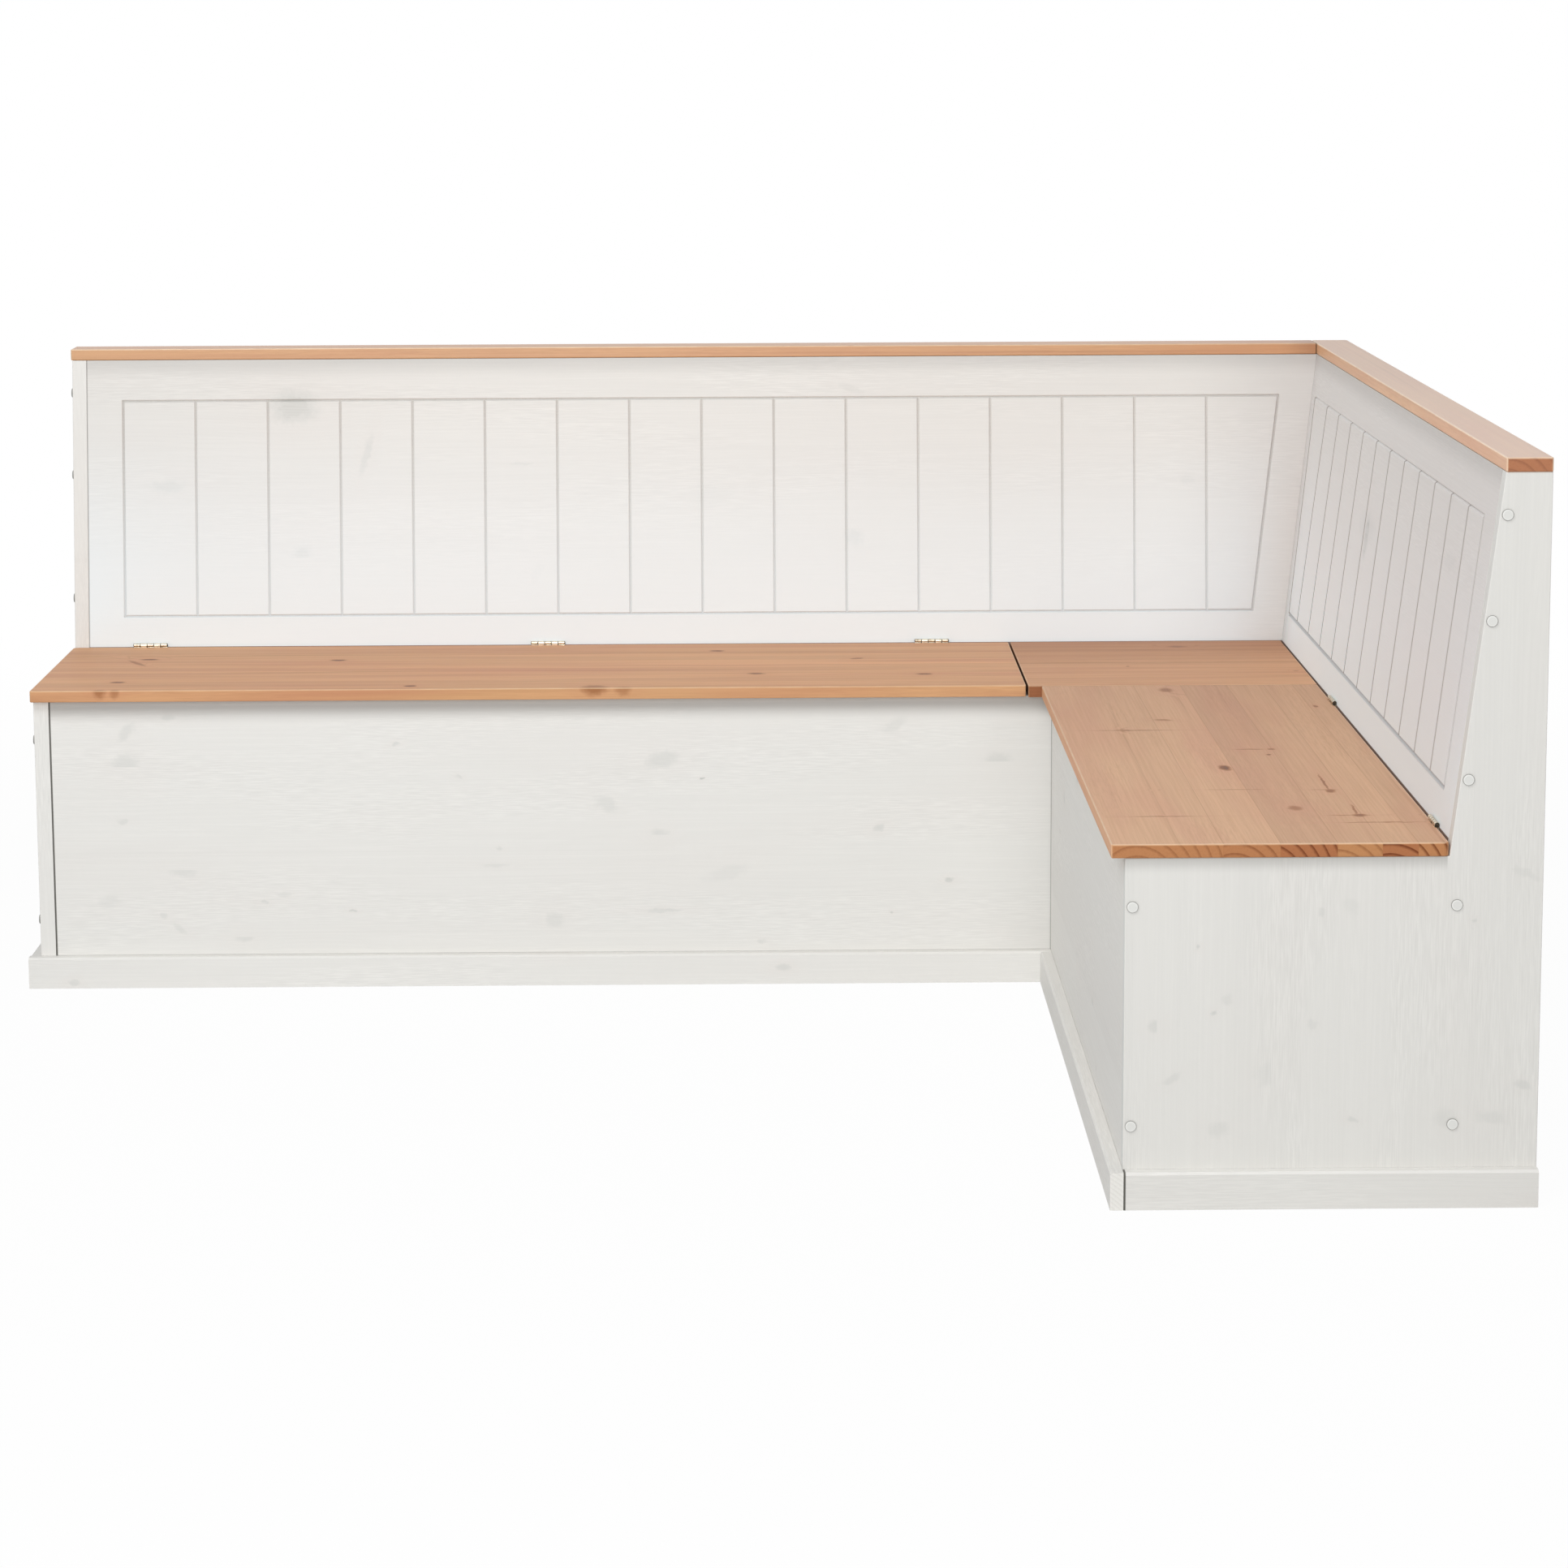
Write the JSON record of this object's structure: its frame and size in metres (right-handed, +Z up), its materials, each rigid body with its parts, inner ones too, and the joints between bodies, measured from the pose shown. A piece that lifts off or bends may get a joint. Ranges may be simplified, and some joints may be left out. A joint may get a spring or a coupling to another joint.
{
  "type": "corner storage bench",
  "caption": "L-shaped corner bench of white-glazed pine with leaning grooved backrests and storage boxes under hinged natural pine seat lids.",
  "frame": {"origin": "on the floor, at the middle of the bench's bounding box", "axes": "+Z up, +X along the long leg toward the room's corner, +Y toward the wall behind the long leg; the open inner corner faces -X and -Y"},
  "size_m": [1.9962, 1.6562, 0.9],
  "materials": {
    "white_glazed_pine": "white glaze, satin, faint grain and knots",
    "natural_pine": "oiled natural pine, satin",
    "raw_pine": "planed, unfinished pine",
    "brass": "brushed brass",
    "cap_white": "matte white"
  },
  "bodies": {
    "bench": {"left_end_panel": "white_glazed_pine", "left_end_plinth": "white_glazed_pine", "left_partition": "white_glazed_pine", "left_backrest_cap_1": "cap_white", "left_backrest_cap_2": "cap_white", "left_backrest_cap_3": "cap_white", "left_rear_cap_1": "cap_white", "left_rear_cap_2": "cap_white", "left_front_cap_1": "cap_white", "left_front_cap_2": "cap_white", "right_end_panel": "white_glazed_pine", "right_end_plinth": "white_glazed_pine", "right_partition": "white_glazed_pine", "right_backrest_cap_1": "cap_white", "right_backrest_cap_2": "cap_white", "right_backrest_cap_3": "cap_white", "right_rear_cap_1": "cap_white", "right_rear_cap_2": "cap_white", "right_front_cap_1": "cap_white", "right_front_cap_2": "cap_white", "long_front_panel": "white_glazed_pine", "long_back_wall": "white_glazed_pine", "long_backrest_panel": "white_glazed_pine", "long_plinth": "white_glazed_pine", "long_floor_panel": "raw_pine", "long_rear_floor_batten": "raw_pine", "long_front_floor_batten": "raw_pine", "long_top_rail": "natural_pine", "short_front_panel": "white_glazed_pine", "short_back_wall": "white_glazed_pine", "short_backrest_panel": "white_glazed_pine", "short_plinth": "white_glazed_pine", "short_floor_panel": "raw_pine", "short_rear_floor_batten": "raw_pine", "short_front_floor_batten": "raw_pine", "short_top_rail": "natural_pine", "long_hinge_1_fixed_leaf": "brass", "long_hinge_1_pin": "brass", "long_hinge_2_fixed_leaf": "brass", "long_hinge_2_pin": "brass", "long_hinge_3_fixed_leaf": "brass", "long_hinge_3_pin": "brass", "short_hinge_1_fixed_leaf": "brass", "short_hinge_1_pin": "brass", "short_hinge_2_fixed_leaf": "brass", "short_hinge_2_pin": "brass", "corner_seat_board": "natural_pine", "corner_cleat": "raw_pine"},
    "long_lid": {"long_seat_lid": "natural_pine", "long_lid_batten_1": "raw_pine", "long_lid_batten_2": "raw_pine", "long_lid_batten_3": "raw_pine", "long_hinge_1_lid_leaf": "brass", "long_hinge_2_lid_leaf": "brass", "long_hinge_3_lid_leaf": "brass"},
    "short_lid": {"short_seat_lid": "natural_pine", "short_lid_batten_1": "raw_pine", "short_lid_batten_2": "raw_pine", "short_hinge_1_lid_leaf": "brass", "short_hinge_2_lid_leaf": "brass"}
  },
  "joints": [
    {"name": "long_lid_hinge", "type": "hinge", "parent": "bench", "child": "long_lid", "pos_m": [-0.26185, 0.71561, 0.4461], "axis": [-1, 0, 0], "range_deg": [0, 97]},
    {"name": "short_lid_hinge", "type": "hinge", "parent": "bench", "child": "short_lid", "pos_m": [0.88561, -0.25335, 0.4461], "axis": [0, 1, 0], "range_deg": [0, 97]}
  ]
}
